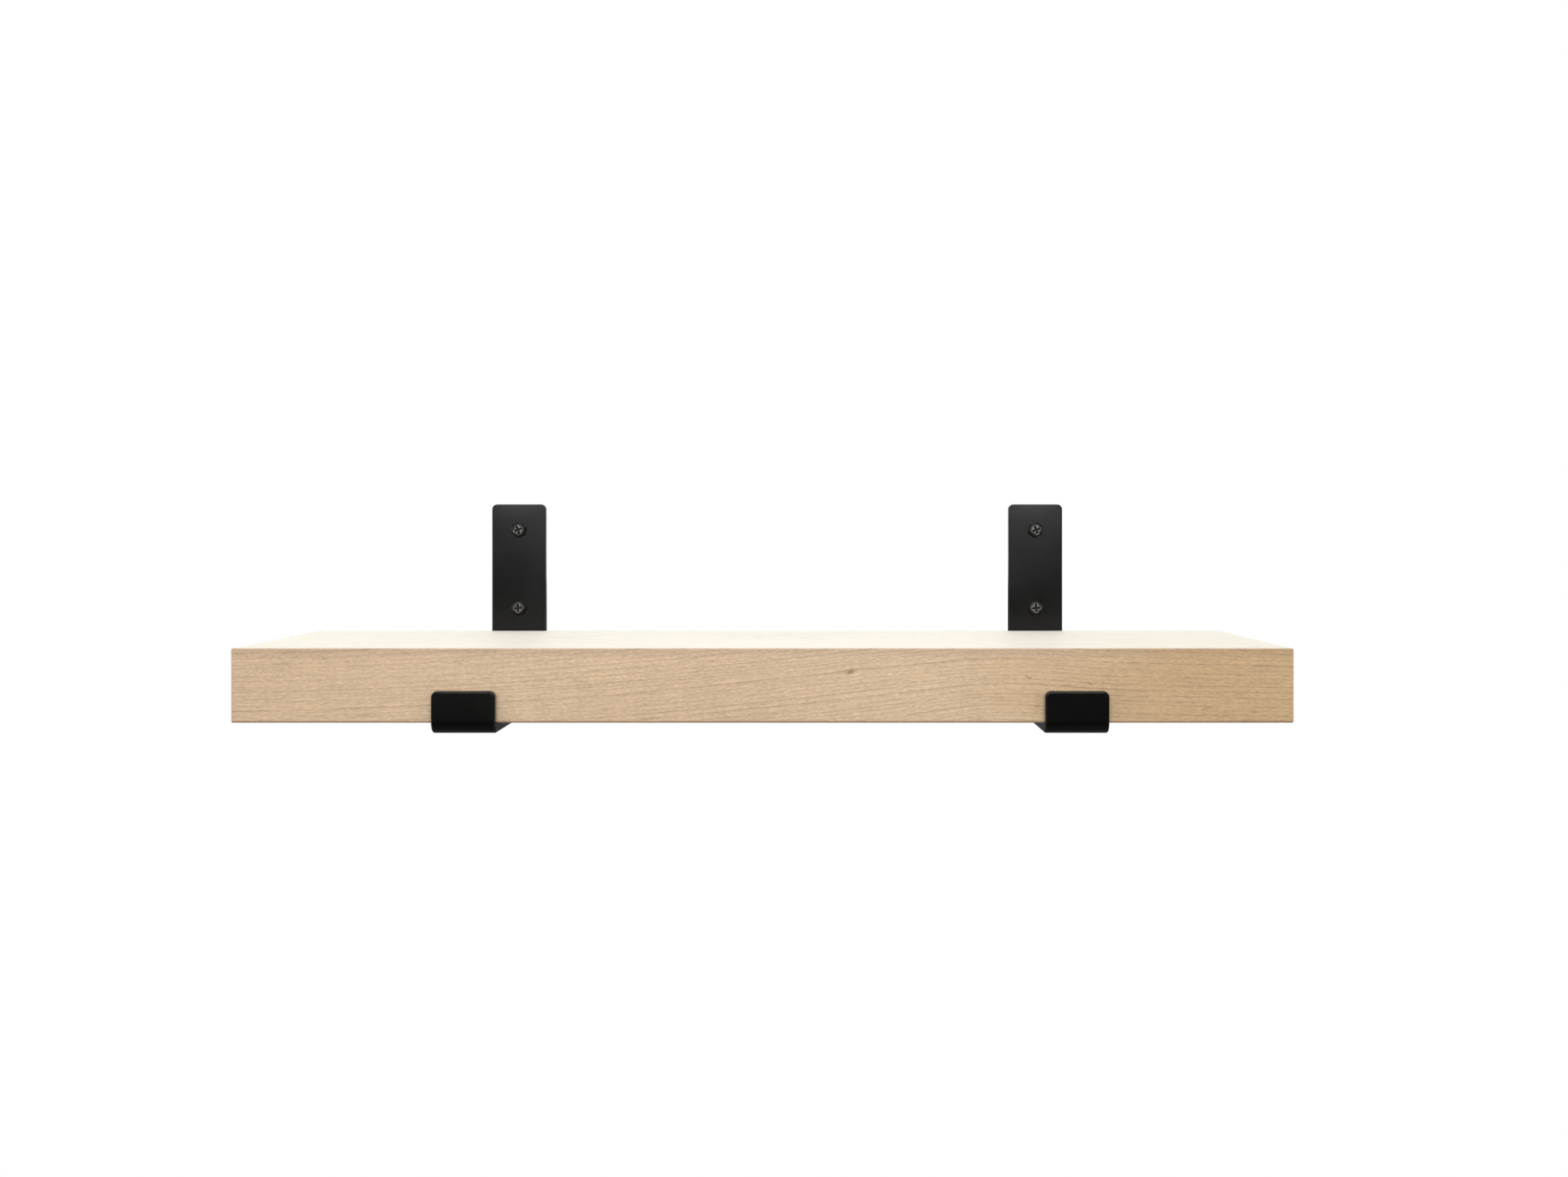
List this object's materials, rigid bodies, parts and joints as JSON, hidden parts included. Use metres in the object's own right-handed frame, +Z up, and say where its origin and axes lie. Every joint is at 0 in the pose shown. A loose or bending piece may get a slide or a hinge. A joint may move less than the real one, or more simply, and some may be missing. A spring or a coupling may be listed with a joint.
{
  "type": "wall shelf with brackets",
  "caption": "Thick solid-wood wall shelf board held by bent flat-steel brackets, each a wall plate, an arm and a front lip.",
  "frame": {"origin": "on the wall plane, at the centre of the rectangle of four wall screws", "axes": "+X along the board, to the right for someone facing the wall; +Y into the wall, the way the wall screws point; +Z up"},
  "size_m": [0.635, 0.2746, 0.1427],
  "materials": {
    "maple": "matte",
    "black_steel": "satin",
    "wall_screw_black": "satin",
    "board_screw_black": "satin"
  },
  "bodies": {
    "root": {"board": "maple", "left_bracket": "black_steel", "right_bracket": "black_steel", "left_upper_wall_screw": "wall_screw_black", "left_lower_wall_screw": "wall_screw_black", "right_upper_wall_screw": "wall_screw_black", "right_lower_wall_screw": "wall_screw_black", "left_back_board_screw": "board_screw_black", "left_front_board_screw": "board_screw_black", "right_back_board_screw": "board_screw_black", "right_front_board_screw": "board_screw_black"}
  },
  "joints": []
}
